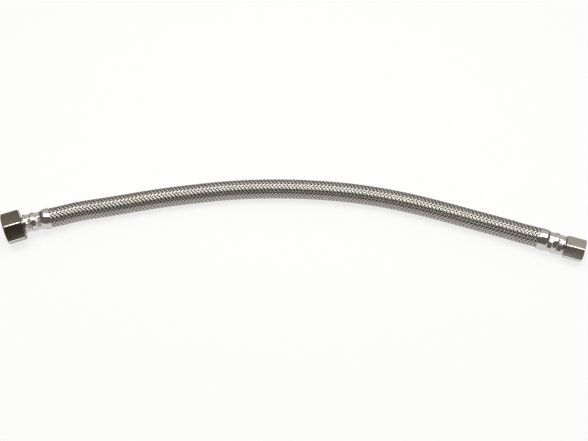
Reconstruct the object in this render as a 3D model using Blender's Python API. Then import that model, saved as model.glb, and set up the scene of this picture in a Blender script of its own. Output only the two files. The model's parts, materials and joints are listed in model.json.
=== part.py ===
"""Braided faucet supply line, lying on a flat surface.

A rubber tube under a wire braid joins two crimped fittings, each with a stem
and a loose hex nut. Lengths are in metres and angles in degrees. +X runs from
the faucet end to the valve end, +Z is up, and Z = 0 is the surface below.
Each fitting is built along its own axis, +Z pointing out of the nut's mouth.
"""
import math

import bmesh
import bpy
import numpy as np
from mathutils import Matrix, Vector

# Clearance between neighbouring pieces
GAP = 0.0003

# Hose
HOSE_DIAMETER = 0.0163
BRAID_WALL = 0.0006
TUBE_WALL = 0.0015
HOSE_STEP = 2.0 * HOSE_DIAMETER
HOSE_BEVEL_RESOLUTION = 4
HOSE_SIDES = 2 * HOSE_BEVEL_RESOLUTION + 4

# Ferrules, measured from the lip at the nut's side
FERRULE_WALL = 0.0005
FERRULE_LENGTH = 0.0212
LIP_DIAMETER = 0.0161
LIP_LENGTH = 0.0018
SHORT_BAND_LENGTH = 0.0040
RIDGE_LENGTH = 0.0036
LONG_BAND_LENGTH = 0.0038
RIDGE_HEIGHT = 0.0008
BAND_STEP = 0.0008
CRIMP_JAWS = 10
CRIMP_CORNER_HEIGHT = 0.00028
SEGMENTS_PER_JAW = 4

# Stems
STEM_WALL = 0.0006
BARB_HEIGHT = 0.00035
BARB_PITCH = 0.0028
BARB_CREST = 0.0007
BARB_COUNT = 4
FLANGE_THICKNESS = 0.0014
EDGE_BREAK = 0.0003

# Nuts
HEX_SIDES = 6
NUT_BACK_WALL = 0.0018
CHAMFER_ANGLE = 30.0
THREAD_LEAD_IN = 0.0007

# Faucet end, for a 1/2 in pipe thread
FAUCET_HEX = 0.0240
FAUCET_NUT_LENGTH = 0.0152
FAUCET_THREAD_BORE = 0.0192
FAUCET_BACK_CHAMFER = 0.0012
FAUCET_MOUTH_CHAMFER = 0.0014
FAUCET_NECK_DIAMETER = 0.0110
FAUCET_FLANGE_DIAMETER = 0.0152
FAUCET_SQUEEZE = 0.0018
FAUCET_SHOULDER_LENGTH = 0.0045
FAUCET_LIP_TO_NUT = 0.0010
FAUCET_BELL_LIFT = 0.0015
FAUCET_NUT_BACK = (-0.2204, 0.0098)
FAUCET_NUT_YAW = 201.4
FAUCET_STEM_YAW = 199.0
FAUCET_JAW_TURN = 26.0
WASHER_BORE = 0.0100
WASHER_THICKNESS = 0.0026

# Valve end, for a 3/8 in compression valve
VALVE_HEX = 0.0175
VALVE_NUT_LENGTH = 0.0150
VALVE_THREAD_BORE = 0.0131
VALVE_BACK_CHAMFER = 0.0006
VALVE_MOUTH_CHAMFER = 0.0008
VALVE_NECK_DIAMETER = 0.0092
VALVE_FLANGE_DIAMETER = 0.0120
VALVE_SQUEEZE = 0.0010
VALVE_SHOULDER_LENGTH = 0.0023
VALVE_LIP_TO_NUT = 0.0008
VALVE_BELL_LIFT = 0.00012
VALVE_NUT_BACK = (0.2211, -0.0099)
VALVE_NUT_YAW = -18.8
VALVE_STEM_YAW = -22.0
VALVE_JAW_TURN = 6.0
NOSE_WALL = 0.0006
SEAL_LENGTH = 0.0050
SEAL_RIM_LENGTH = 0.0012
SEAL_TIP_WALL = 0.0008
NOSE_SHORT_OF_TIP = 0.0010

# The hose's free route along its centre line, from the faucet end's ferrule
ROUTE = (
    (-0.1922, 0.0195, 0.00997),
    (-0.1820, 0.0232, 0.00935),
    (-0.1590, 0.0289, 0.00850),
    (-0.1390, 0.0332, 0.00827),
    (-0.1195, 0.0374, 0.00825),
    (-0.0995, 0.0410, 0.00825),
    (-0.0795, 0.0440, 0.00825),
    (-0.0595, 0.0466, 0.00825),
    (-0.0390, 0.0483, 0.00825),
    (-0.0190, 0.0490, 0.00825),
    (0.0015, 0.0488, 0.00825),
    (0.0220, 0.0476, 0.00825),
    (0.0425, 0.0455, 0.00825),
    (0.0625, 0.0424, 0.00825),
    (0.0825, 0.0381, 0.00825),
    (0.1023, 0.0328, 0.00825),
    (0.1219, 0.0266, 0.00825),
    (0.1412, 0.0200, 0.00825),
    (0.1600, 0.0134, 0.00825),
    (0.1790, 0.0066, 0.00840),
    (0.1905, 0.0021, 0.00872),
)

# Facets around a turned piece, and the least angle of an edge shaded sharp
TURN_SEGMENTS = 40
SHARP_ANGLE = 25.0

# How far a cutter reaches past the piece it cuts, and the distance of welded points
CUT_PAST = 0.0010
WELD = 1e-7

# Finishes: colour, roughness, metallic
FAUCET_NICKEL = ((0.30, 0.27, 0.23), 0.22, 1.0)
VALVE_NICKEL = ((0.55, 0.53, 0.50), 0.25, 1.0)
STEEL = ((0.66, 0.64, 0.60), 0.15, 1.0)
BRAID_WIRE = ((0.62, 0.60, 0.57), 0.35, 1.0)
PLATED_BRASS = ((0.50, 0.46, 0.40), 0.30, 1.0)
SEAL_RUBBER = ((0.03, 0.03, 0.03), 0.70, 0.0)
TUBE_RUBBER = ((0.05, 0.05, 0.05), 0.60, 0.0)

# Sizes that follow from those above
HOSE_RADIUS = HOSE_DIAMETER / 2
CRIMP_SEGMENTS = CRIMP_JAWS * SEGMENTS_PER_JAW
BELL_INNER_RADIUS = HOSE_RADIUS + GAP
BELL_RADIUS = BELL_INNER_RADIUS + FERRULE_WALL
BANDS_END = LIP_LENGTH + SHORT_BAND_LENGTH + RIDGE_LENGTH + LONG_BAND_LENGTH


def clear_scene():
    for item in list(bpy.data.objects):
        bpy.data.objects.remove(item, do_unlink=True)


def finish(name, colour, roughness, metallic):
    """A plain material with one colour, roughness and metallic value."""
    made = bpy.data.materials.new(name)
    made.use_nodes = True
    shader = made.node_tree.nodes["Principled BSDF"]
    shader.inputs["Base Color"].default_value = (*colour, 1.0)
    shader.inputs["Roughness"].default_value = roughness
    shader.inputs["Metallic"].default_value = metallic
    return made


def link(name, data, parent=None, offset=0.0):
    """Put data into the scene as an object, offset along its parent's Z axis."""
    item = bpy.data.objects.new(name, data)
    bpy.context.scene.collection.objects.link(item)
    item.parent = parent
    item.location.z = offset
    return item


def mesh_object(name, shape, parent, offset=0.0, material=None):
    """Turn a bmesh into a smooth-shaded object with its own material."""
    bmesh.ops.remove_doubles(shape, verts=shape.verts, dist=WELD)
    bmesh.ops.recalc_face_normals(shape, faces=shape.faces)
    mesh = bpy.data.meshes.new(name)
    shape.to_mesh(mesh)
    shape.free()
    mesh.shade_smooth()
    mesh.set_sharp_from_angle(angle=math.radians(SHARP_ANGLE))
    if material:
        mesh.materials.append(material)
    return link(name, mesh, parent, offset)


def guide(item):
    """Mark an object as a cutter, which is no piece of the line."""
    item.hide_render = True
    item.display_type = "WIRE"
    return item


def turned(outline):
    """Spin a closed outline of (height, radius) points about the Z axis."""
    shape = bmesh.new()
    corners = [shape.verts.new((radius, 0.0, height)) for height, radius in outline]
    edges = [shape.edges.new((a, b)) for a, b in zip(corners, corners[1:] + corners[:1])]
    bmesh.ops.spin(
        shape,
        geom=corners + edges,
        cent=(0.0, 0.0, 0.0),
        axis=(0.0, 0.0, 1.0),
        angle=math.tau,
        steps=TURN_SEGMENTS,
    )
    return shape


def boolean(target, cutter, operation):
    cut = target.modifiers.new(operation.lower(), "BOOLEAN")
    cut.object = cutter
    cut.operation = operation
    cut.solver = "EXACT"


def empty_on_axis(name, origin, outward):
    """An empty at origin whose Z axis points outward along a fitting."""
    across = Vector((0.0, 0.0, 1.0)).cross(outward).normalized()
    upward = outward.cross(across)
    turn = Matrix((across, upward, outward)).transposed().to_4x4()
    holder = link(name, None)
    holder.matrix_world = Matrix.Translation(origin) @ turn
    return holder


def direction(yaw, pitch):
    """Unit vector at a yaw from +X and a pitch above the surface, in radians."""
    level = math.cos(pitch)
    return Vector((level * math.cos(yaw), level * math.sin(yaw), math.sin(pitch)))


def crimp_radius(turn, flat_radius, corner_radius):
    """Radius of a crimped band at an angle: flats that end in blunt corners."""
    half_jaw = math.pi / CRIMP_JAWS
    from_flat = (turn + half_jaw) % (2 * half_jaw) - half_jaw
    return min(flat_radius / math.cos(from_flat), corner_radius)


class End:
    """The sizes and the place of one end's fitting."""

    def __init__(self, prefix, hex_size, nut_length, thread_bore, back_chamfer, mouth_chamfer,
                 neck, flange, squeeze, shoulder, lip_to_nut, bell_lift, nut_back, nut_yaw,
                 stem_yaw, jaw_turn):
        self.prefix = prefix
        self.hex_size = hex_size
        self.nut_length = nut_length
        self.thread_radius = thread_bore / 2
        self.back_chamfer = back_chamfer
        self.mouth_chamfer = mouth_chamfer
        self.neck_radius = neck / 2
        self.flange_radius = flange / 2
        self.bell_start = BANDS_END + shoulder
        self.lip_face = -lip_to_nut
        self.mouth = self.lip_face - FERRULE_LENGTH
        self.jaw_turn = math.radians(jaw_turn)
        # The hose inside the crimp
        self.squeezed_radius = HOSE_RADIUS - squeeze
        self.crimp_inner = self.squeezed_radius + GAP
        self.flat_radius = self.crimp_inner + FERRULE_WALL
        tube_inner = self.squeezed_radius - BRAID_WALL - GAP - TUBE_WALL
        self.barb_radius = tube_inner * math.cos(math.pi / HOSE_SIDES) - GAP
        self.root_radius = self.barb_radius - BARB_HEIGHT
        self.bore_radius = self.root_radius - STEM_WALL
        # The nut rests on a flat, and the stem tilts until the bell is down too
        nut_height = hex_size / 2
        drop = nut_height - BELL_RADIUS - bell_lift
        pitch = math.asin(drop / -self.mouth)
        self.pivot = Vector((*nut_back, nut_height))
        self.nut_axis = direction(math.radians(nut_yaw), 0.0)
        self.stem_axis = direction(math.radians(stem_yaw), pitch)
        self.tilt = self.nut_axis.angle(self.stem_axis)
        # Stem flange, clear of the nut's back wall where the tilt brings it nearest
        reach = self.flange_radius * math.sin(self.tilt)
        self.flange_back = (NUT_BACK_WALL + GAP + reach) / math.cos(self.tilt)
        self.flange_front = self.flange_back + FLANGE_THICKNESS
        self.seat = self.flange_front * math.cos(self.tilt) + reach + GAP
        self.nut_holder = empty_on_axis(prefix + "_nut_axis", self.pivot, self.nut_axis)
        self.stem_holder = empty_on_axis(prefix + "_stem_axis", self.pivot, self.stem_axis)

    def hose_point(self, height):
        """World position on the stem's axis at a height of its own frame."""
        return self.pivot + self.stem_axis * height


def make_nut(end, material):
    """Hex nut with turned chamfers, a threaded bore and a hole for the neck."""
    corner = end.hex_size / 2 / math.cos(math.pi / HEX_SIDES)
    flat_down = Matrix.Rotation(math.pi / HEX_SIDES, 4, "Z")
    shape = bmesh.new()
    bmesh.ops.create_cone(
        shape,
        cap_ends=True,
        segments=HEX_SIDES,
        radius1=corner,
        radius2=corner,
        depth=end.nut_length,
        matrix=Matrix.Translation((0.0, 0.0, end.nut_length / 2)) @ flat_down,
    )
    nut = mesh_object(end.prefix + "_nut", shape, end.nut_holder, material=material)

    slope = math.tan(math.radians(CHAMFER_ANGLE))
    outer = corner + CUT_PAST
    back_flat = corner - end.back_chamfer / slope
    mouth_flat = corner - end.mouth_chamfer / slope
    envelope = (
        (0.0, 0.0),
        (0.0, back_flat),
        ((outer - back_flat) * slope, outer),
        (end.nut_length - (outer - mouth_flat) * slope, outer),
        (end.nut_length, mouth_flat),
        (end.nut_length, 0.0),
    )
    chamfers = guide(mesh_object(nut.name + "_chamfers", turned(envelope), end.nut_holder))
    boolean(nut, chamfers, "INTERSECT")

    lead = end.thread_radius + THREAD_LEAD_IN
    tilted_neck = end.neck_radius / math.cos(end.tilt) + NUT_BACK_WALL * math.tan(end.tilt)
    neck_hole = tilted_neck + GAP
    bore = (
        (-CUT_PAST, 0.0),
        (-CUT_PAST, neck_hole),
        (NUT_BACK_WALL, neck_hole),
        (NUT_BACK_WALL, end.thread_radius),
        (end.nut_length - THREAD_LEAD_IN, end.thread_radius),
        (end.nut_length + CUT_PAST, lead + CUT_PAST),
        (end.nut_length + CUT_PAST, 0.0),
    )
    cutter = guide(mesh_object(nut.name + "_bore", turned(bore), end.nut_holder))
    boolean(nut, cutter, "DIFFERENCE")
    return nut


def make_ferrule(end, material):
    """Crimped sleeve: lip, two bands of flats with a ridge between, and bell."""
    lip_radius = LIP_DIAMETER / 2
    ridge_radius = end.flat_radius + RIDGE_HEIGHT
    corner_radius = end.flat_radius + CRIMP_CORNER_HEIGHT
    short_end = LIP_LENGTH + SHORT_BAND_LENGTH
    long_start = short_end + RIDGE_LENGTH
    half_step = BAND_STEP / 2
    ridge_inner = ridge_radius - FERRULE_WALL
    lip_hole = end.neck_radius + GAP
    # Rings run from the bell's inside to its outside: depth, radius, crimped
    rings = (
        (FERRULE_LENGTH, BELL_INNER_RADIUS, False),
        (end.bell_start, BELL_INNER_RADIUS, False),
        (BANDS_END, end.crimp_inner, False),
        (long_start, end.crimp_inner, False),
        (long_start - BAND_STEP, ridge_inner, False),
        (short_end + BAND_STEP, ridge_inner, False),
        (short_end, end.crimp_inner, False),
        (LIP_LENGTH, end.crimp_inner, False),
        (LIP_LENGTH, lip_hole, False),
        (0.0, lip_hole, False),
        (0.0, lip_radius - EDGE_BREAK, False),
        (EDGE_BREAK, lip_radius, False),
        (LIP_LENGTH - half_step, lip_radius, False),
        (LIP_LENGTH + half_step, end.flat_radius, True),
        (short_end - half_step, end.flat_radius, True),
        (short_end + half_step, ridge_radius, False),
        (long_start - half_step, ridge_radius, False),
        (long_start + half_step, end.flat_radius, True),
        (BANDS_END, end.flat_radius, True),
        (end.bell_start, BELL_RADIUS, False),
        (FERRULE_LENGTH, BELL_RADIUS, False),
    )
    shape = bmesh.new()
    loops = []
    for depth, radius, crimped in rings:
        loop = []
        for k in range(CRIMP_SEGMENTS):
            turn = math.tau * k / CRIMP_SEGMENTS
            reach = crimp_radius(turn, radius, corner_radius) if crimped else radius
            place = turn + end.jaw_turn
            loop.append(shape.verts.new((reach * math.cos(place), reach * math.sin(place), -depth)))
        loops.append(loop)
    for first, second in zip(loops, loops[1:] + loops[:1]):
        for k in range(CRIMP_SEGMENTS):
            after = (k + 1) % CRIMP_SEGMENTS
            shape.faces.new((first[k], first[after], second[after], second[k]))
    name = end.prefix + "_ferrule"
    return mesh_object(name, shape, end.stem_holder, end.lip_face, material)


def make_stem(end, material, nose=0.0):
    """Tube with barbs inside the hose, a neck through the nut and a flange."""
    shoulder = end.lip_face - LIP_LENGTH
    outline = [(end.flange_front, end.bore_radius)]
    if nose:
        nose_radius = end.bore_radius + NOSE_WALL
        outline = [
            (end.flange_front + nose, end.bore_radius),
            (end.flange_front + nose, nose_radius - EDGE_BREAK),
            (end.flange_front + nose - EDGE_BREAK, nose_radius),
            (end.flange_front, nose_radius),
        ]
    outline += [
        (end.flange_front, end.flange_radius - EDGE_BREAK),
        (end.flange_front - EDGE_BREAK, end.flange_radius),
        (end.flange_back, end.flange_radius),
        (end.flange_back, end.neck_radius),
        (shoulder, end.neck_radius),
        (shoulder, end.root_radius),
    ]
    first_barb = shoulder - (BANDS_END - LIP_LENGTH - BARB_COUNT * BARB_PITCH) / 2
    for k in range(BARB_COUNT):
        step = first_barb - k * BARB_PITCH
        outline += [
            (step, end.root_radius),
            (step, end.barb_radius),
            (step - BARB_CREST, end.barb_radius),
            (step - BARB_PITCH, end.root_radius),
        ]
    outline.append((outline[-1][0], end.bore_radius))
    return mesh_object(end.prefix + "_stem", turned(outline), end.stem_holder, material=material)


def make_washer(end, material):
    """Flat rubber washer pressed into the faucet nut against the stem's flange."""
    outer = end.thread_radius - GAP
    inner = WASHER_BORE / 2
    back = end.seat
    front = back + WASHER_THICKNESS
    outline = (
        (back, inner),
        (back, outer - EDGE_BREAK),
        (back + EDGE_BREAK, outer),
        (front - EDGE_BREAK, outer),
        (front, outer - EDGE_BREAK),
        (front, inner),
    )
    return mesh_object(end.prefix + "_washer", turned(outline), end.nut_holder, material=material)


def make_seal(end, material):
    """Rubber cone on the valve stem's nose, wide end against the flange."""
    inner = end.bore_radius + NOSE_WALL + GAP
    back = end.flange_front + GAP
    sideways = (back + SEAL_RIM_LENGTH) * math.sin(end.tilt)
    outer = end.thread_radius - sideways - GAP
    outline = (
        (back, inner),
        (back, outer),
        (back + SEAL_RIM_LENGTH, outer),
        (back + SEAL_LENGTH, inner + SEAL_TIP_WALL),
        (back + SEAL_LENGTH, inner),
    )
    return mesh_object(end.prefix + "_seal", turned(outline), end.stem_holder, material=material)


def smooth_route(points, start_way, end_way, step):
    """Cubic spline with continuous curvature through points, read at even steps."""
    points = np.array(points)
    chords = np.linalg.norm(np.diff(points, axis=0), axis=1)
    count = len(points)
    system = np.zeros((count, count))
    known = np.zeros((count, 3))
    system[0, 0] = 1.0
    system[-1, -1] = 1.0
    known[0] = start_way
    known[-1] = end_way
    for i in range(1, count - 1):
        before, after = chords[i - 1], chords[i]
        system[i, i - 1 : i + 2] = (1 / before, 2 / before + 2 / after, 1 / after)
        known[i] = 3 * (points[i] - points[i - 1]) / before**2
        known[i] += 3 * (points[i + 1] - points[i]) / after**2
    ways = np.linalg.solve(system, known)
    knots = np.concatenate(([0.0], np.cumsum(chords)))
    stations = np.linspace(0.0, knots[-1], round(knots[-1] / step) + 1)
    path = []
    for place in stations:
        i = min(int(np.searchsorted(knots, place, side="right")) - 1, count - 2)
        span = chords[i]
        t = (place - knots[i]) / span
        path.append(
            (1 + 2 * t) * (1 - t) ** 2 * points[i]
            + t * (1 - t) ** 2 * span * ways[i]
            + t * t * (3 - 2 * t) * points[i + 1]
            + t * t * (t - 1) * span * ways[i + 1]
        )
    return [Vector(place) for place in path]


def squeezed_end(end):
    """Points and radii of the hose inside a ferrule, from its end to the mouth."""
    hose_end = end.lip_face - LIP_LENGTH - GAP
    crimp_end = end.lip_face - BANDS_END
    full_size = end.lip_face - end.bell_start - GAP
    return [
        (end.hose_point(hose_end), end.squeezed_radius),
        (end.hose_point(crimp_end), end.squeezed_radius),
        (end.hose_point(full_size), HOSE_RADIUS),
    ]


def hose_stations(faucet, valve):
    """Centre line points and outer radii of the whole hose, end to end."""
    start = faucet.hose_point(faucet.mouth)
    finish_point = valve.hose_point(valve.mouth)
    route = [start, *(Vector(place) for place in ROUTE), finish_point]
    free = smooth_route(route, -faucet.stem_axis, valve.stem_axis, HOSE_STEP)
    middle = [(place, HOSE_RADIUS) for place in free]
    return squeezed_end(faucet) + middle + squeezed_end(valve)[::-1]


def make_layer(name, stations, inset, wall, material):
    """One layer of the hose: a swept tube whose skin lies inset below the braid's."""
    curve = bpy.data.curves.new(name, "CURVE")
    curve.dimensions = "3D"
    curve.resolution_u = 1
    curve.render_resolution_u = 0
    curve.bevel_resolution = HOSE_BEVEL_RESOLUTION
    curve.bevel_depth = HOSE_RADIUS - inset
    line = curve.splines.new("POLY")
    line.points.add(len(stations) - 1)
    for point, (place, radius) in zip(line.points, stations):
        point.co = (*place, 1.0)
        point.radius = (radius - inset) / curve.bevel_depth
    curve.materials.append(material)
    layer = link(name, curve)
    thick = layer.modifiers.new("wall", "SOLIDIFY")
    thick.thickness = wall
    thick.offset = -1.0
    thick.use_even_offset = True
    return layer


def main():
    clear_scene()
    faucet = End(
        "faucet", FAUCET_HEX, FAUCET_NUT_LENGTH, FAUCET_THREAD_BORE, FAUCET_BACK_CHAMFER,
        FAUCET_MOUTH_CHAMFER, FAUCET_NECK_DIAMETER, FAUCET_FLANGE_DIAMETER, FAUCET_SQUEEZE,
        FAUCET_SHOULDER_LENGTH, FAUCET_LIP_TO_NUT, FAUCET_BELL_LIFT, FAUCET_NUT_BACK,
        FAUCET_NUT_YAW, FAUCET_STEM_YAW, FAUCET_JAW_TURN,
    )
    valve = End(
        "valve", VALVE_HEX, VALVE_NUT_LENGTH, VALVE_THREAD_BORE, VALVE_BACK_CHAMFER,
        VALVE_MOUTH_CHAMFER, VALVE_NECK_DIAMETER, VALVE_FLANGE_DIAMETER, VALVE_SQUEEZE,
        VALVE_SHOULDER_LENGTH, VALVE_LIP_TO_NUT, VALVE_BELL_LIFT, VALVE_NUT_BACK,
        VALVE_NUT_YAW, VALVE_STEM_YAW, VALVE_JAW_TURN,
    )
    make_nut(faucet, finish("faucet_nut", *FAUCET_NICKEL))
    make_washer(faucet, finish("faucet_washer", *SEAL_RUBBER))
    make_stem(faucet, finish("faucet_stem", *PLATED_BRASS))
    make_ferrule(faucet, finish("faucet_ferrule", *STEEL))
    make_nut(valve, finish("valve_nut", *VALVE_NICKEL))
    make_seal(valve, finish("valve_seal", *SEAL_RUBBER))
    nose = SEAL_LENGTH + GAP - NOSE_SHORT_OF_TIP
    make_stem(valve, finish("valve_stem", *PLATED_BRASS), nose)
    make_ferrule(valve, finish("valve_ferrule", *STEEL))
    stations = hose_stations(faucet, valve)
    make_layer("wire_braid", stations, 0.0, BRAID_WALL, finish("wire_braid", *BRAID_WIRE))
    under_braid = BRAID_WALL + GAP
    make_layer("inner_tube", stations, under_braid, TUBE_WALL, finish("inner_tube", *TUBE_RUBBER))


main()
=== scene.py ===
"""The looks of a braided faucet supply line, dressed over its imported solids.

Lengths are in metres. Each fitting is modelled standing on the origin with +Z
pointing out of its nut's mouth, and is then laid in its place.
"""
import json
import math
from typing import NamedTuple

import bmesh
import bpy
from mathutils import Matrix, Vector


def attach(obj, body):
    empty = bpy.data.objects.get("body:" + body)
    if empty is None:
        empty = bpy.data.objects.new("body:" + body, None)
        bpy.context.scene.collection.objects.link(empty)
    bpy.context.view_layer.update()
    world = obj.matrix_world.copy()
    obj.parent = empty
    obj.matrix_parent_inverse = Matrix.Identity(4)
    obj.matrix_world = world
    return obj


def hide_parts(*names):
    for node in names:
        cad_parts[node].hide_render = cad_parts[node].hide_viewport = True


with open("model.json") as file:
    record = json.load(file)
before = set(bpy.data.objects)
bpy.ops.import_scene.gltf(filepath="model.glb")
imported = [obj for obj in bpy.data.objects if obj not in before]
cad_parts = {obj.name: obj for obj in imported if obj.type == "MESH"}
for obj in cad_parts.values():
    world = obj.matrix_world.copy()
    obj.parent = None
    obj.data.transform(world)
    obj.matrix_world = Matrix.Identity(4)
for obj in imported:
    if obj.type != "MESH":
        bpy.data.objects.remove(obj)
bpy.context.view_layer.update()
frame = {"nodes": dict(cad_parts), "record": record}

# Clearance between neighbouring pieces, and the distance at which two corners are one
GAP = 0.0003
WELD = 0.000002

# Camera: the photograph's viewing angle, in degrees, and its focal length in pixels
PHOTO_WIDTH = 588
FOCAL_PIXELS = 900.0
SENSOR_WIDTH = 36.0
CAMERA_ELEVATION = 54.5
CAMERA_DISTANCE = 0.7543
CAMERA_TARGET = Vector((0.0017, 0.0220, 0.0))

# Floor, and the share of plain white in what the camera and the metal see of it
FLOOR_SIZE = 6.0
FLOOR_DROP = 0.0002
FLOOR_WHITE = 0.90
FLOOR_ROUGHNESS = 0.9
FLOOR_GLOW = 0.78

# Lamps, each turned towards the origin, and the light of the room
SOFTBOX = {"location": (0.0, 0.09, 1.10), "width": 1.60, "height": 0.68, "power": 13.0}
BACK_WALL = {"location": (0.0, 1.20, 1.00), "width": 3.00, "height": 1.30, "power": 6.5}
ROOM_LIGHT = (0.17, 0.158, 0.140, 1.0)

# Hose, with the route that its solid takes between the sleeves
HOSE_DIAMETER = 0.0163
HOSE_RADIUS = HOSE_DIAMETER / 2
ROUTE = (
    (-0.1922, 0.0195, 0.00997),
    (-0.1820, 0.0232, 0.00935),
    (-0.1590, 0.0289, 0.00850),
    (-0.1390, 0.0332, 0.00827),
    (-0.1195, 0.0374, 0.00825),
    (-0.0995, 0.0410, 0.00825),
    (-0.0795, 0.0440, 0.00825),
    (-0.0595, 0.0466, 0.00825),
    (-0.0390, 0.0483, 0.00825),
    (-0.0190, 0.0490, 0.00825),
    (0.0015, 0.0488, 0.00825),
    (0.0220, 0.0476, 0.00825),
    (0.0425, 0.0455, 0.00825),
    (0.0625, 0.0424, 0.00825),
    (0.0825, 0.0381, 0.00825),
    (0.1023, 0.0328, 0.00825),
    (0.1219, 0.0266, 0.00825),
    (0.1412, 0.0200, 0.00825),
    (0.1600, 0.0134, 0.00825),
    (0.1790, 0.0066, 0.00840),
    (0.1905, 0.0021, 0.00872),
)
# How far the hose runs on inside each sleeve, and how many steps the path sampled along it has
HOSE_INSIDE_BELL = 0.0035
PATH_STEPS = 100

# Braid: strands each way, length of hose per turn, and each strand's own wires
STRANDS_EACH_WAY = 12
BRAID_LAY = 0.0374
WIRES_PER_STRAND = 6
STRAND_WIDTH = 0.00180
STRAND_CROWN = 0.00032
WIRE_THICKNESS = 0.00022
# Height of the valleys between the wires, as a share of a wire's thickness
VALLEY_SHARE = 0.1
# How far a strand moves out and in as it passes over and under, and how sharply
WEAVE_HEIGHT = 0.00026
WEAVE_STEEPNESS = 1.6
# Turns the weave so that a strand changes sides midway between two crossings
WEAVE_PHASE = math.pi / 4
# Lifts the strands, so that their crests stand just out of the solid's plain wall
STRAND_RISE = 0.00009
POINTS_PER_CROSSING = 2
# Painted shade along a strand's edges, how quickly it fades from them, and painted shade where it
# dips under
EDGE_SHADE = 0.65
EDGE_SHADE_POWER = 3
DIP_SHADE = 0.40
# The rubber tube inside, and the fineness of its round
TUBE_RADIUS = 0.0070
TUBE_RESOLUTION = 6

# Ferrules: sizes of the solids, with a crown on the ridge and rounded band edges
FERRULE_WALL = 0.0005
FERRULE_LENGTH = 0.0212
LIP_RADIUS = 0.00805
LIP_LENGTH = 0.0018
SHORT_BAND_LENGTH = 0.0040
RIDGE_LENGTH = 0.0036
LONG_BAND_LENGTH = 0.0038
RIDGE_HEIGHT = 0.0008
RIDGE_CROWN = 0.00005
CRIMP_JAWS = 10
STEPS_PER_JAW = 12
BAND_EDGE = 0.0003
# Slope from the long band to the bell, as shares of its length and of its rise
SHOULDER_CURVE = ((0.30, 0.30), (0.70, 0.80))
# Added to half a jaw's angle, so that the corners on its border are taken with it
JAW_MARGIN = 0.001
BELL_RADIUS = HOSE_RADIUS + GAP + FERRULE_WALL
SHORT_END = LIP_LENGTH + SHORT_BAND_LENGTH
LONG_START = SHORT_END + RIDGE_LENGTH
BANDS_END = LONG_START + LONG_BAND_LENGTH

# Nuts and what is in them
HEX_SIDES = 6
NUT_BACK_WALL = 0.0018
CHAMFER_SLOPE = math.tan(math.radians(30.0))
CORNER_ROUNDING = 0.0007
CORNER_SEGMENTS = 6
# How deep the painted highlight goes in from a corner
HIGHLIGHT_DEPTH = 0.0003
THREAD_LEAD_IN = 0.0004
WEDGE_SIDES = 3
FLANGE_THICKNESS = 0.0014

# Rounded edges, with angles in degrees, and the facets of a turned piece
EDGE_ROUNDING = 0.00018
EDGE_SEGMENTS = 3
NUT_EDGE_ANGLE = 28.0
FERRULE_EDGE_ANGLE = 20.0
SMOOTH_ANGLE = 32.0
ROUND_STEPS = 96

# How far a cutter reaches past the piece it cuts, and the plane that an outline starts from
CUT_PAST = 0.0010
START_SIZE = 0.0003

# The two fittings' own sizes, with yaws and turns in degrees
FAUCET_SIZES = {
    "hex_size": 0.0240,
    "length": 0.0152,
    "bore": 0.0192,
    "thread_pitch": 0.001814,
    "thread_depth": 0.00085,
    "back_chamfer": 0.0012,
    "mouth_chamfer": 0.0014,
    "neck": 0.0110,
    "flange": 0.0152,
    "squeeze": 0.0018,
    "shoulder": 0.0045,
    "lip_to_nut": 0.0010,
    "bell_lift": 0.0015,
    "stem_yaw": 199.0,
    "jaw_turn": 26.0,
}
VALVE_SIZES = {
    "hex_size": 0.0175,
    "length": 0.0150,
    "bore": 0.0131,
    "thread_pitch": 0.001058,
    "thread_depth": 0.00055,
    "back_chamfer": 0.0006,
    "mouth_chamfer": 0.0008,
    "neck": 0.0092,
    "flange": 0.0120,
    "squeeze": 0.0010,
    "shoulder": 0.0023,
    "lip_to_nut": 0.0008,
    "bell_lift": 0.00012,
    "stem_yaw": -22.0,
    "jaw_turn": 6.0,
}


class MetalLook(NamedTuple):
    """Colours where clean and where stained, roughness range and strength of the grain."""

    clean: tuple
    stained: tuple
    smooth: float
    rough: float
    grain: float


class RubberLook(NamedTuple):
    """Colour and middle roughness of a rubber."""

    colour: tuple
    rough: float


BRAID_STEEL = MetalLook((0.62, 0.585, 0.54), (0.46, 0.43, 0.39), 0.12, 0.26, 0.05)
SLEEVE_STEEL = MetalLook((0.69, 0.66, 0.62), (0.54, 0.51, 0.47), 0.08, 0.20, 0.05)
FAUCET_NICKEL = MetalLook((0.20, 0.17, 0.13), (0.13, 0.11, 0.085), 0.16, 0.30, 0.15)
VALVE_NICKEL = MetalLook((0.47, 0.44, 0.39), (0.34, 0.32, 0.28), 0.16, 0.30, 0.15)
PLATED_BRASS = MetalLook((0.46, 0.42, 0.36), (0.36, 0.32, 0.26), 0.20, 0.35, 0.2)
TUBE_RUBBER = RubberLook((0.03, 0.028, 0.026), 0.6)
SEAL_RUBBER = RubberLook((0.02, 0.02, 0.02), 0.55)

# Colours laid over the metal where a mesh's own value says so: painted shade on the braid and on
# the nuts' back faces, and a painted highlight on the nuts' corners
BRAID_PAINTED_SHADE = (0.05, 0.045, 0.04)
NUT_BACK_PAINTED_SHADE = (0.04, 0.035, 0.025)
CORNER_PAINTED_HIGHLIGHT = (0.85, 0.81, 0.74)

# Metal's grain: streaks around the axis, cloudy stains and the depth of the relief
STREAK_STRETCH = (300.0, 300.0, 2600.0)
STREAK_DETAIL = 5.0
STAIN_SCALE = 220.0
STAIN_DETAIL = 3.0
GRAIN_DEPTH = 0.00005

# Rubber: a pebbled skin, and a bloom that lightens it and changes its roughness
PEBBLE_SCALE = 4000.0
PEBBLE_STRENGTH = 0.35
PEBBLE_DEPTH = 0.00003
BLOOM_SCALE = 350.0
BLOOM_GAIN = 2.0
BLOOM_ROUGHNESS = 0.10


def place_along(origin, outward):
    """The matrix that lays a piece modelled along +Z along an outward axis."""
    across = Vector((0.0, 0.0, 1.0)).cross(outward).normalized()
    upward = outward.cross(across)
    return Matrix.Translation(origin) @ Matrix((across, upward, outward)).transposed().to_4x4()


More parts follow.
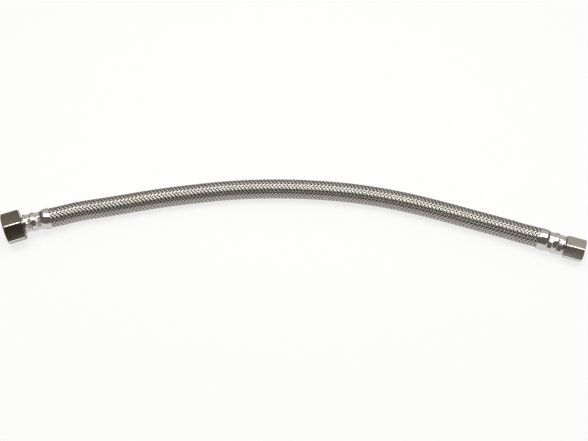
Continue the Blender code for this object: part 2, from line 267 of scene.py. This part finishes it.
class End:
    """One fitting's sizes and the two places that its pieces are laid in."""

    def __init__(
        self, name, hex_size, length, bore, thread_pitch, thread_depth, back_chamfer,
        mouth_chamfer, neck, flange, squeeze, shoulder, lip_to_nut, bell_lift, stem_yaw, jaw_turn,
    ):
        joints = frame["record"]["behaviour"]["joints"]
        joint = next(j for j in joints if j["name"] == name + "_nut_spin")
        self.name = name
        self.hex_size = hex_size
        self.corner = hex_size / 2 / math.cos(math.pi / HEX_SIDES)
        self.length = length
        self.minor = bore / 2
        self.pitch = thread_pitch
        self.thread_depth = thread_depth
        self.back_chamfer = back_chamfer
        self.mouth_chamfer = mouth_chamfer
        self.neck = neck / 2
        self.flange = flange / 2
        self.shoulder = shoulder
        self.bell_start = BANDS_END + shoulder
        self.lip = -lip_to_nut
        self.jaw_turn = math.radians(jaw_turn)
        self.crimp_inner = HOSE_RADIUS - squeeze + GAP
        self.flat = self.crimp_inner + FERRULE_WALL
        self.mouth = self.lip - FERRULE_LENGTH
        self.pivot = Vector(joint["pos_m"])
        self.nut_axis = Vector(joint["axis"]).normalized()
        # The stem tilts, because the bell's centre is at another height than the nut's
        drop = hex_size / 2 - BELL_RADIUS - bell_lift
        pitch = math.asin(drop / -self.mouth)
        yaw = math.radians(stem_yaw)
        level = math.cos(pitch)
        self.stem_axis = Vector((level * math.cos(yaw), level * math.sin(yaw), math.sin(pitch)))
        self.tilt = self.nut_axis.angle(self.stem_axis)
        reach = self.flange * math.sin(self.tilt)
        flange_back = (NUT_BACK_WALL + GAP + reach) / math.cos(self.tilt)
        flange_front = flange_back + FLANGE_THICKNESS
        self.seat = flange_front * math.cos(self.tilt) + reach + GAP
        self.nut_place = place_along(self.pivot, self.nut_axis)
        self.stem_place = place_along(self.pivot, self.stem_axis)

    def hose_point(self, height):
        """The place on the stem's axis at a height of the fitting's own."""
        return self.pivot + self.stem_axis * height


# Camera

def make_camera():
    """Look at the line as the photograph does."""
    elevation = math.radians(CAMERA_ELEVATION)
    data = bpy.data.cameras.new("camera")
    data.sensor_width = SENSOR_WIDTH
    data.lens = SENSOR_WIDTH * FOCAL_PIXELS / PHOTO_WIDTH
    camera = bpy.data.objects.new("camera", data)
    bpy.context.scene.collection.objects.link(camera)
    back = Vector((0.0, -math.cos(elevation), math.sin(elevation)))
    camera.location = CAMERA_TARGET + back * CAMERA_DISTANCE
    camera.rotation_euler = (math.pi / 2 - elevation, 0.0, 0.0)
    bpy.context.scene.camera = camera


# Materials

def new_material(name):
    """A material with its nodes, its links and its main shader."""
    material = bpy.data.materials.new(name)
    material.use_nodes = True
    nodes = material.node_tree.nodes
    return material, nodes, material.node_tree.links, nodes["Principled BSDF"]


def new_colour_mix(nodes):
    """A mix node that blends colours A and B."""
    mix = nodes.new("ShaderNodeMix")
    mix.data_type = "RGBA"
    return mix


def socket_group(name, inputs, outputs):
    """An empty shader group with float, colour and vector sockets."""
    group = bpy.data.node_groups.new(name, "ShaderNodeTree")
    for label, kind in inputs:
        group.interface.new_socket(label, in_out="INPUT", socket_type="NodeSocket" + kind)
    for label, kind in outputs:
        group.interface.new_socket(label, in_out="OUTPUT", socket_type="NodeSocket" + kind)
    return group, group.nodes.new("NodeGroupInput"), group.nodes.new("NodeGroupOutput")


def metal_grain_group():
    """Fine streaks and cloudy stains: a colour, a roughness and a height."""
    group, given, made = socket_group(
        "metal_grain",
        (
            ("Place", "Vector"),
            ("Clean", "Color"),
            ("Stained", "Color"),
            ("Smooth", "Float"),
            ("Rough", "Float"),
        ),
        (("Colour", "Color"), ("Roughness", "Float"), ("Height", "Float")),
    )
    nodes, links = group.nodes, group.links
    streaks = nodes.new("ShaderNodeTexNoise")
    streaks.inputs["Scale"].default_value = 1.0
    streaks.inputs["Detail"].default_value = STREAK_DETAIL
    stretch = nodes.new("ShaderNodeMapping")
    stretch.inputs["Scale"].default_value = STREAK_STRETCH
    clouds = nodes.new("ShaderNodeTexNoise")
    clouds.inputs["Scale"].default_value = STAIN_SCALE
    clouds.inputs["Detail"].default_value = STAIN_DETAIL
    shade = new_colour_mix(nodes)
    rough = nodes.new("ShaderNodeMapRange")
    links.new(given.outputs["Place"], stretch.inputs["Vector"])
    links.new(stretch.outputs["Vector"], streaks.inputs["Vector"])
    links.new(given.outputs["Place"], clouds.inputs["Vector"])
    links.new(clouds.outputs["Fac"], shade.inputs["Factor"])
    links.new(given.outputs["Clean"], shade.inputs["A"])
    links.new(given.outputs["Stained"], shade.inputs["B"])
    links.new(streaks.outputs["Fac"], rough.inputs["Value"])
    links.new(given.outputs["Smooth"], rough.inputs["To Min"])
    links.new(given.outputs["Rough"], rough.inputs["To Max"])
    links.new(shade.outputs["Result"], made.inputs["Colour"])
    links.new(rough.outputs["Result"], made.inputs["Roughness"])
    links.new(streaks.outputs["Fac"], made.inputs["Height"])
    return group


def metal(name, look, place):
    """Plated or bare metal whose grain runs around the Z axis of a place."""
    material, nodes, links, shader = new_material(name)
    shader.inputs["Metallic"].default_value = 1.0
    where = nodes.new("ShaderNodeTexCoord")
    turn = nodes.new("ShaderNodeMapping")
    turn.vector_type = "TEXTURE"
    turn.inputs["Location"].default_value = place.to_translation()
    turn.inputs["Rotation"].default_value = place.to_euler()
    grain = nodes.new("ShaderNodeGroup")
    grain.node_tree = METAL_GRAIN
    grain.inputs["Clean"].default_value = (*look.clean, 1.0)
    grain.inputs["Stained"].default_value = (*look.stained, 1.0)
    grain.inputs["Smooth"].default_value = look.smooth
    grain.inputs["Rough"].default_value = look.rough
    relief = nodes.new("ShaderNodeBump")
    relief.inputs["Strength"].default_value = look.grain
    relief.inputs["Distance"].default_value = GRAIN_DEPTH
    links.new(where.outputs["Object"], turn.inputs["Vector"])
    links.new(turn.outputs["Vector"], grain.inputs["Place"])
    links.new(grain.outputs["Colour"], shader.inputs["Base Color"])
    links.new(grain.outputs["Roughness"], shader.inputs["Roughness"])
    links.new(grain.outputs["Height"], relief.inputs["Height"])
    links.new(relief.outputs["Normal"], shader.inputs["Normal"])
    return material


def touch_up(material, value, colour):
    """Blend a colour over a material where the mesh's own value is high."""
    nodes, links = material.node_tree.nodes, material.node_tree.links
    base = nodes["Principled BSDF"].inputs["Base Color"]
    amount = nodes.new("ShaderNodeAttribute")
    amount.attribute_name = value
    shade = new_colour_mix(nodes)
    shade.inputs["B"].default_value = (*colour, 1.0)
    links.new(base.links[0].from_socket, shade.inputs["A"])
    links.new(amount.outputs["Fac"], shade.inputs["Factor"])
    links.new(shade.outputs["Result"], base)


def rubber(name, look):
    """Black moulded rubber with a faint bloom and a pebbled skin."""
    material, nodes, links, shader = new_material(name)
    where = nodes.new("ShaderNodeTexCoord")
    pebbles = nodes.new("ShaderNodeTexNoise")
    pebbles.inputs["Scale"].default_value = PEBBLE_SCALE
    bloom = nodes.new("ShaderNodeTexNoise")
    bloom.inputs["Scale"].default_value = BLOOM_SCALE
    shade = new_colour_mix(nodes)
    shade.inputs["A"].default_value = (*look.colour, 1.0)
    shade.inputs["B"].default_value = (*(BLOOM_GAIN * c for c in look.colour), 1.0)
    tone = nodes.new("ShaderNodeMapRange")
    tone.inputs["To Min"].default_value = look.rough - BLOOM_ROUGHNESS
    tone.inputs["To Max"].default_value = look.rough + BLOOM_ROUGHNESS
    relief = nodes.new("ShaderNodeBump")
    relief.inputs["Strength"].default_value = PEBBLE_STRENGTH
    relief.inputs["Distance"].default_value = PEBBLE_DEPTH
    for texture in (pebbles, bloom):
        links.new(where.outputs["Object"], texture.inputs["Vector"])
    links.new(bloom.outputs["Fac"], shade.inputs["Factor"])
    links.new(shade.outputs["Result"], shader.inputs["Base Color"])
    links.new(bloom.outputs["Fac"], tone.inputs["Value"])
    links.new(tone.outputs["Result"], shader.inputs["Roughness"])
    links.new(pebbles.outputs["Fac"], relief.inputs["Height"])
    links.new(relief.outputs["Normal"], shader.inputs["Normal"])
    return material


# Modelling

def deselect():
    """Leave nothing selected."""
    bpy.ops.object.select_all(action="DESELECT")


def take(piece):
    """Make a piece the only selected one."""
    deselect()
    piece.select_set(True)
    bpy.context.view_layer.objects.active = piece


def turned(name, outline, steps=ROUND_STEPS):
    """Draw a closed outline of (height, radius) corners point by point, and spin it."""
    deselect()
    bpy.ops.mesh.primitive_plane_add(size=START_SIZE)
    piece = bpy.context.object
    piece.name = name
    bpy.ops.object.mode_set(mode="EDIT")
    bpy.ops.mesh.select_all(action="SELECT")
    bpy.ops.mesh.merge(type="CENTER")
    height, radius = outline[0]
    bpy.ops.transform.translate(value=(radius, 0.0, height))
    for next_height, next_radius in [*outline[1:], outline[0]]:
        step = (next_radius - radius, 0.0, next_height - height)
        bpy.ops.mesh.extrude_region_move(TRANSFORM_OT_translate={"value": step})
        height, radius = next_height, next_radius
    bpy.ops.mesh.select_all(action="SELECT")
    bpy.ops.mesh.spin(
        steps=steps, angle=math.tau, center=(0.0, 0.0, 0.0), axis=(0.0, 0.0, 1.0)
    )
    bpy.ops.mesh.select_all(action="SELECT")
    bpy.ops.mesh.remove_doubles(threshold=WELD)
    bpy.ops.mesh.normals_make_consistent(inside=False)
    bpy.ops.object.mode_set(mode="OBJECT")
    return piece


def select_points(piece, wanted):
    """In edit mode, select the corners whose place passes a test."""
    shape = bmesh.from_edit_mesh(piece.data)
    shape.select_mode = {"VERT"}
    for vert in shape.verts:
        vert.select = wanted(vert.co)
    shape.select_flush(True)
    bmesh.update_edit_mesh(piece.data)


def round_edges(piece, angle):
    """Round every edge that is sharper than an angle in degrees."""
    take(piece)
    bevel = piece.modifiers.new("edges", "BEVEL")
    bevel.width = EDGE_ROUNDING
    bevel.segments = EDGE_SEGMENTS
    bevel.limit_method = "ANGLE"
    bevel.angle_limit = math.radians(angle)
    bpy.ops.object.modifier_apply(modifier=bevel.name)


def cut(piece, cutter, operation):
    """Apply a Boolean and throw the cutter away."""
    take(piece)
    tool = piece.modifiers.new(operation.lower(), "BOOLEAN")
    tool.object = cutter
    tool.operation = operation
    tool.solver = "EXACT"
    bpy.ops.object.modifier_apply(modifier=tool.name)
    bpy.data.objects.remove(cutter, do_unlink=True)


def finish(piece, place, material, body, slot, *nodes):
    """Lay a piece in its place, with its finish, and hand it to its body."""
    piece.matrix_world = place
    take(piece)
    bpy.ops.object.transform_apply(location=True, rotation=True, scale=True)
    bpy.ops.object.shade_smooth_by_angle(angle=math.radians(SMOOTH_ANGLE))
    piece.data.materials.clear()
    piece.data.materials.append(material)
    if nodes:
        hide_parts(*nodes)
    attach(piece, body)


# Fittings

def mark_nut(nut, end):
    """Write where the nut's corners carry a painted highlight and its back face a painted shade.
    """
    painted_highlight, painted_shade = [], []
    for vert in nut.data.vertices:
        radius = math.hypot(vert.co.x, vert.co.y)
        # Painted highlight along the rounded hex corners
        painted_highlight.append(float(radius > end.corner - HIGHLIGHT_DEPTH))
        # Painted shade on the back face, at the nut's bottom end
        painted_shade.append(float(vert.co.z < WELD))
    for name, values in (("painted_highlight", painted_highlight), ("painted_shade", painted_shade)):
        nut.data.attributes.new(name, "FLOAT", "POINT").data.foreach_set("value", values)


def make_nut(end, material):
    """Hex bar with rounded corners, turned chamfers at both ends, and a bore."""
    deselect()
    bpy.ops.mesh.primitive_cylinder_add(
        vertices=HEX_SIDES,
        radius=end.corner,
        depth=end.length,
        location=(0.0, 0.0, end.length / 2),
        rotation=(0.0, 0.0, math.pi / HEX_SIDES),
    )
    nut = bpy.context.object
    nut.name = end.name + "_hex_nut"
    bpy.ops.object.transform_apply(location=True, rotation=True, scale=True)
    bpy.ops.object.mode_set(mode="EDIT")
    bpy.ops.mesh.select_all(action="DESELECT")
    shape = bmesh.from_edit_mesh(nut.data)
    shape.select_mode = {"EDGE"}
    for edge in shape.edges:
        run = edge.verts[0].co - edge.verts[1].co
        edge.select_set(abs(run.z) > end.length / 2)
    bmesh.update_edit_mesh(nut.data)
    bpy.ops.mesh.bevel(offset=CORNER_ROUNDING, segments=CORNER_SEGMENTS, affect="EDGES")
    bpy.ops.object.mode_set(mode="OBJECT")

    outer = end.corner + CUT_PAST
    back_flat = end.corner - end.back_chamfer / CHAMFER_SLOPE
    mouth_flat = end.corner - end.mouth_chamfer / CHAMFER_SLOPE
    envelope = turned("chamfers", (
        (0.0, 0.0),
        (0.0, back_flat),
        ((outer - back_flat) * CHAMFER_SLOPE, outer),
        (end.length - (outer - mouth_flat) * CHAMFER_SLOPE, outer),
        (end.length, mouth_flat),
        (end.length, 0.0),
    ))
    cut(nut, envelope, "INTERSECT")
    major = end.minor + end.thread_depth
    neck_hole = end.neck / math.cos(end.tilt) + NUT_BACK_WALL * math.tan(end.tilt) + GAP
    bore = turned("bore", (
        (-CUT_PAST, 0.0),
        (-CUT_PAST, neck_hole),
        (NUT_BACK_WALL, neck_hole),
        (NUT_BACK_WALL, major),
        (end.length - THREAD_LEAD_IN, major),
        (end.length + CUT_PAST, major + THREAD_LEAD_IN + CUT_PAST),
        (end.length + CUT_PAST, 0.0),
    ))
    cut(nut, bore, "DIFFERENCE")
    round_edges(nut, NUT_EDGE_ANGLE)
    mark_nut(nut, end)
    node = end.name + "_nut"
    finish(nut, end.nut_place, material, node, node, node)


def make_thread(end, material):
    """The nut's right-hand thread: a wedge wound along the bore's wall."""
    start = end.seat + 2 * THREAD_LEAD_IN
    turns = int((end.length - THREAD_LEAD_IN - start) / end.pitch)
    deselect()
    bpy.ops.mesh.primitive_circle_add(
        vertices=WEDGE_SIDES,
        radius=end.thread_depth,
        fill_type="NGON",
        location=(end.minor + end.thread_depth, 0.0, start),
        rotation=(math.pi / 2, -math.pi / 2, 0.0),
    )
    thread = bpy.context.object
    thread.name = end.name + "_nut_thread"
    bpy.ops.object.transform_apply(location=True, rotation=True, scale=True)
    wind = thread.modifiers.new("wind", "SCREW")
    wind.screw_offset = end.pitch
    wind.iterations = turns
    wind.steps = ROUND_STEPS
    wind.render_steps = ROUND_STEPS
    wind.use_merge_vertices = False
    bpy.ops.object.modifier_apply(modifier=wind.name)
    bpy.ops.object.mode_set(mode="EDIT")
    bpy.ops.mesh.select_all(action="SELECT")
    bpy.ops.mesh.remove_doubles(threshold=WELD)
    bpy.ops.mesh.fill_holes(sides=WEDGE_SIDES)
    bpy.ops.mesh.normals_make_consistent(inside=False)
    bpy.ops.object.mode_set(mode="OBJECT")
    finish(thread, end.nut_place, material, end.name + "_nut", end.name + "_nut")


def sleeve_outline(end):
    """A sleeve's section before the jaws press it, as (depth, radius) corners."""
    corner = end.flat / math.cos(math.pi / CRIMP_JAWS)
    ridge = end.flat + RIDGE_HEIGHT
    bell_inner = BELL_RADIUS - FERRULE_WALL
    slope = [
        (BANDS_END + end.shoulder * along, corner + (BELL_RADIUS - corner) * rise)
        for along, rise in SHOULDER_CURVE
    ]
    return (
        (0.0, end.neck + GAP),
        (0.0, LIP_RADIUS - BAND_EDGE),
        (BAND_EDGE, LIP_RADIUS),
        (LIP_LENGTH - BAND_EDGE, LIP_RADIUS),
        (LIP_LENGTH, corner),
        (SHORT_END - BAND_EDGE, corner),
        (SHORT_END + BAND_EDGE, ridge),
        (SHORT_END + RIDGE_LENGTH / 2, ridge + RIDGE_CROWN),
        (LONG_START - BAND_EDGE, ridge),
        (LONG_START + BAND_EDGE, corner),
        (BANDS_END, corner),
        *slope,
        (end.bell_start, BELL_RADIUS),
        (FERRULE_LENGTH, BELL_RADIUS),
        (FERRULE_LENGTH, bell_inner),
        (end.bell_start, bell_inner),
        (BANDS_END, end.crimp_inner),
        (LIP_LENGTH, end.crimp_inner),
        (LIP_LENGTH, end.neck + GAP),
    )


def make_ferrule(end, material):
    """Drawn sleeve, pressed flat by the crimping jaws along its two bands."""
    outline = [(-depth, radius) for depth, radius in sleeve_outline(end)]
    sleeve = turned(end.name + "_crimped_ferrule", outline, CRIMP_JAWS * STEPS_PER_JAW)
    bands = ((LIP_LENGTH, SHORT_END - BAND_EDGE), (LONG_START + BAND_EDGE, BANDS_END))
    half_jaw = math.pi / CRIMP_JAWS + JAW_MARGIN
    bpy.ops.object.mode_set(mode="EDIT")
    for _ in range(CRIMP_JAWS):
        for first, last in bands:
            select_points(sleeve, lambda co: (
                first - WELD <= -co.z <= last + WELD
                and math.hypot(co.x, co.y) > end.flat - BAND_EDGE / 2
                and abs(math.atan2(co.y, co.x)) < half_jaw
            ))
            bpy.ops.transform.resize(value=(0.0, 1.0, 1.0), center_override=(end.flat, 0.0, 0.0))
        bpy.ops.mesh.select_all(action="SELECT")
        bpy.ops.transform.rotate(
            value=math.tau / CRIMP_JAWS, orient_axis="Z", center_override=(0.0, 0.0, 0.0)
        )
    bpy.ops.object.mode_set(mode="OBJECT")
    round_edges(sleeve, FERRULE_EDGE_ANGLE)
    lift = Matrix.Translation((0.0, 0.0, end.lip)) @ Matrix.Rotation(end.jaw_turn, 4, "Z")
    finish(sleeve, end.stem_place @ lift, material, "hose", "ferrules", end.name + "_ferrule")


# Hose

def smooth_route(points, start_way, end_way):
    """Distances between points, and a smooth cubic line's way at each point."""
    count = len(points)
    chords = [(b - a).length for a, b in zip(points, points[1:])]
    sweep = [0.0] * count
    ways = [start_way.copy()] + [None] * (count - 1)
    for i in range(1, count - 1):
        before, after = 1 / chords[i - 1], 1 / chords[i]
        known = (
            3 * (points[i] - points[i - 1]) * before**2
            + 3 * (points[i + 1] - points[i]) * after**2
        )
        pivot = 2 * before + 2 * after - before * sweep[i - 1]
        sweep[i] = after / pivot
        ways[i] = (known - before * ways[i - 1]) / pivot
    ways[-1] = end_way.copy()
    for i in range(count - 2, 0, -1):
        ways[i] -= sweep[i] * ways[i + 1]
    return chords, ways


class Line:
    """The hose's centre line, read by distance along it."""

    def __init__(self, points, start_way, end_way):
        self.points = points
        self.chords, self.ways = smooth_route(points, start_way, end_way)
        self.length = sum(self.chords)

    def at(self, distance):
        """The place on the line and its way there."""
        i = 0
        while i < len(self.chords) - 1 and distance > self.chords[i]:
            distance -= self.chords[i]
            i += 1
        span = self.chords[i]
        t = distance / span
        a, b = self.points[i], self.points[i + 1]
        u, v = self.ways[i], self.ways[i + 1]
        place = (
            (1 + 2 * t) * (1 - t) ** 2 * a
            + t * (1 - t) ** 2 * span * u
            + t * t * (3 - 2 * t) * b
            + t * t * (t - 1) * span * v
        )
        way = (
            (6 * t * t - 6 * t) / span * (a - b)
            + (3 * t * t - 4 * t + 1) * u
            + (3 * t * t - 2 * t) * v
        )
        return place, way.normalized()

    def ring(self, distance):
        """The place on the line with the two directions across it there."""
        place, way = self.at(distance)
        side = Vector((0.0, 0.0, 1.0)).cross(way).normalized()
        return place, side, way.cross(side)


def strand_profile():
    """A strand's section as (across, height): a crown of wires, closed straight below."""
    points = []
    for k in range(2 * WIRES_PER_STRAND + 1):
        share = k / WIRES_PER_STRAND - 1.0
        ridge = WIRE_THICKNESS / 2 if k % 2 else WIRE_THICKNESS * VALLEY_SHARE
        points.append((STRAND_WIDTH / 2 * share, ridge - STRAND_CROWN * share**2))
    return points


def braid_strands(name, line, hand, material):
    """Every strand that winds one way round the hose, over two and under two."""
    middle = HOSE_RADIUS + STRAND_RISE - WIRE_THICKNESS / 2 - WEAVE_HEIGHT
    lean = math.atan(math.tau * middle / BRAID_LAY)
    profile = strand_profile()
    size = len(profile)
    crossing = BRAID_LAY / (2 * STRANDS_EACH_WAY)
    count = round(line.length / crossing * POINTS_PER_CROSSING)
    rings = [line.ring(line.length * k / count) for k in range(count + 1)]
    points, faces, painted_shade = [], [], []
    for strand in range(STRANDS_EACH_WAY):
        base = len(points)
        for k in range(count + 1):
            place, side, up = rings[k]
            way = side.cross(up)
            along = line.length * k / count
            around = hand * math.tau * along / BRAID_LAY + math.tau * strand / STRANDS_EACH_WAY
            for across, height in profile:
                # Across the strand means partly along the hose and partly round it
                shift = -hand * across * math.sin(lean)
                turn = around + across * math.cos(lean) / middle
                wave = math.cos(STRANDS_EACH_WAY / 2 * turn - WEAVE_PHASE)
                weave = hand * math.tanh(WEAVE_STEEPNESS * wave)
                radius = middle + WEAVE_HEIGHT * weave + height
                out = side * math.cos(turn) + up * math.sin(turn)
                points.append(place + way * shift + out * radius)
                # Painted shade: darker towards a strand's edges and where it dips under the other
                # strands
                edge = abs(2 * across / STRAND_WIDTH) ** EDGE_SHADE_POWER
                painted_shade.append(min(1.0, EDGE_SHADE * edge + DIP_SHADE * (1.0 - weave) / 2))
        for k in range(count):
            for j in range(size):
                a = base + k * size + j
                b = base + k * size + (j + 1) % size
                faces.append((a, b, b + size, a + size))
        faces.append(tuple(base + j for j in reversed(range(size))))
        faces.append(tuple(base + count * size + j for j in range(size)))
    mesh = bpy.data.meshes.new(name)
    mesh.from_pydata(points, [], faces)
    mesh.attributes.new("painted_shade", "FLOAT", "POINT").data.foreach_set("value", painted_shade)
    piece = bpy.data.objects.new(name, mesh)
    bpy.context.scene.collection.objects.link(piece)
    take(piece)
    bpy.ops.object.mode_set(mode="EDIT")
    bpy.ops.mesh.select_all(action="SELECT")
    bpy.ops.mesh.normals_make_consistent(inside=False)
    bpy.ops.object.mode_set(mode="OBJECT")
    mesh.materials.append(material)
    mesh.shade_smooth()
    # The valleys between a strand's wires stay sharp, so that each wire looks round
    for edge in mesh.edges:
        a, b = edge.vertices
        edge.use_edge_sharp = a % size == b % size and a % size % 2 == 0
    return piece


def make_tube(line, material):
    """The rubber tube that shows dark between the strands."""
    data = bpy.data.curves.new("rubber_tube", "CURVE")
    data.dimensions = "3D"
    data.bevel_depth = TUBE_RADIUS
    data.bevel_resolution = TUBE_RESOLUTION
    data.use_fill_caps = True
    spline = data.splines.new("POLY")
    count = round(line.length / HOSE_RADIUS)
    spline.points.add(count)
    for k, point in enumerate(spline.points):
        point.co = (*line.at(line.length * k / count)[0], 1.0)
    tube = bpy.data.objects.new("rubber_tube", data)
    bpy.context.scene.collection.objects.link(tube)
    data.materials.append(material)
    return tube


def make_hose(faucet, valve, wire, tube_rubber):
    """The strands that wind each way and the tube, on the route that the solids take."""
    start = faucet.hose_point(faucet.mouth + HOSE_INSIDE_BELL)
    points = [
        start,
        faucet.hose_point(faucet.mouth),
        *map(Vector, ROUTE),
        valve.hose_point(valve.mouth),
        valve.hose_point(valve.mouth + HOSE_INSIDE_BELL),
    ]
    line = Line(points, -faucet.stem_axis, valve.stem_axis)
    tube = make_tube(line, tube_rubber)
    first = braid_strands("braid_strands_right", line, 1, wire)
    second = braid_strands("braid_strands_left", line, -1, wire)
    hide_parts("wire_braid")
    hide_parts("inner_tube")
    for piece, slot in ((first, "wire_braid"), (second, "wire_braid"), (tube, "inner_tube")):
        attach(piece, "hose")
    path = [line.at(line.length * k / PATH_STEPS)[0] for k in range(PATH_STEPS + 1)]


# Surroundings

def make_floor():
    """A pale table, lit up where the camera and the metal see it, with its shadows kept."""
    deselect()
    bpy.ops.mesh.primitive_plane_add(size=FLOOR_SIZE, location=(0.0, 0.0, -FLOOR_DROP))
    floor = bpy.context.object
    floor.name = "floor"
    material, nodes, links, shader = new_material("floor")
    shader.inputs["Base Color"].default_value = (FLOOR_WHITE, FLOOR_WHITE, FLOOR_WHITE, 1.0)
    shader.inputs["Roughness"].default_value = FLOOR_ROUGHNESS
    glow = nodes.new("ShaderNodeEmission")
    path = nodes.new("ShaderNodeLightPath")
    either = nodes.new("ShaderNodeMath")
    either.operation = "MAXIMUM"
    any_of = nodes.new("ShaderNodeMath")
    any_of.operation = "MAXIMUM"
    share = nodes.new("ShaderNodeMath")
    share.operation = "MULTIPLY"
    share.inputs[1].default_value = FLOOR_GLOW
    mix = nodes.new("ShaderNodeMixShader")
    links.new(path.outputs["Is Camera Ray"], either.inputs[0])
    links.new(path.outputs["Is Glossy Ray"], either.inputs[1])
    links.new(either.outputs[0], any_of.inputs[0])
    links.new(path.outputs["Is Transmission Ray"], any_of.inputs[1])
    links.new(any_of.outputs[0], share.inputs[0])
    links.new(share.outputs[0], mix.inputs["Fac"])
    links.new(shader.outputs[0], mix.inputs[1])
    links.new(glow.outputs[0], mix.inputs[2])
    links.new(mix.outputs[0], nodes["Material Output"].inputs["Surface"])
    floor.data.materials.append(material)


def make_lamp(name, location, width, height, power):
    """A square-cornered softbox that faces the origin."""
    data = bpy.data.lights.new(name, "AREA")
    data.shape = "RECTANGLE"
    data.size = width
    data.size_y = height
    data.energy = power
    lamp = bpy.data.objects.new(name, data)
    bpy.context.scene.collection.objects.link(lamp)
    lamp.location = location
    lamp.rotation_euler = (-Vector(location)).to_track_quat("-Z", "Y").to_euler()


def make_room():
    """The light that comes from all round, and the two lamps."""
    world = bpy.data.worlds.new("room")
    world.use_nodes = True
    backdrop = world.node_tree.nodes["Background"]
    backdrop.inputs["Color"].default_value = ROOM_LIGHT
    backdrop.inputs["Strength"].default_value = 1.0
    bpy.context.scene.world = world
    make_lamp("softbox", **SOFTBOX)
    make_lamp("back_wall", **BACK_WALL)


def refinish(node, material):
    """Give a solid that stays in view its own finish."""
    solid = frame["nodes"][node]
    solid.data.materials.clear()
    solid.data.materials.append(material)


make_camera()
METAL_GRAIN = metal_grain_group()
FAUCET = End("faucet", **FAUCET_SIZES)
VALVE = End("valve", **VALVE_SIZES)
WIRE = metal("braid_wire", BRAID_STEEL, Matrix())
# Painted shade on the braid's strand edges and where strands dip under
touch_up(WIRE, "painted_shade", BRAID_PAINTED_SHADE)
make_hose(FAUCET, VALVE, WIRE, rubber("tube_rubber", TUBE_RUBBER))
for end, nickel in ((FAUCET, FAUCET_NICKEL), (VALVE, VALVE_NICKEL)):
    plate = metal(end.name + "_nickel", nickel, end.nut_place)
    # Painted highlight on the nut's corners
    touch_up(plate, "painted_highlight", CORNER_PAINTED_HIGHLIGHT)
    # Painted shade on the nut's back face
    touch_up(plate, "painted_shade", NUT_BACK_PAINTED_SHADE)
    make_nut(end, plate)
    make_thread(end, plate)
    make_ferrule(end, metal(end.name + "_steel", SLEEVE_STEEL, end.stem_place))
    refinish(end.name + "_stem", metal(end.name + "_plated_brass", PLATED_BRASS, end.stem_place))
for node in ("faucet_washer", "valve_seal"):
    refinish(node, rubber(node + "_rubber", SEAL_RUBBER))
make_floor()
make_room()
bpy.context.scene.view_settings.view_transform = "Standard"
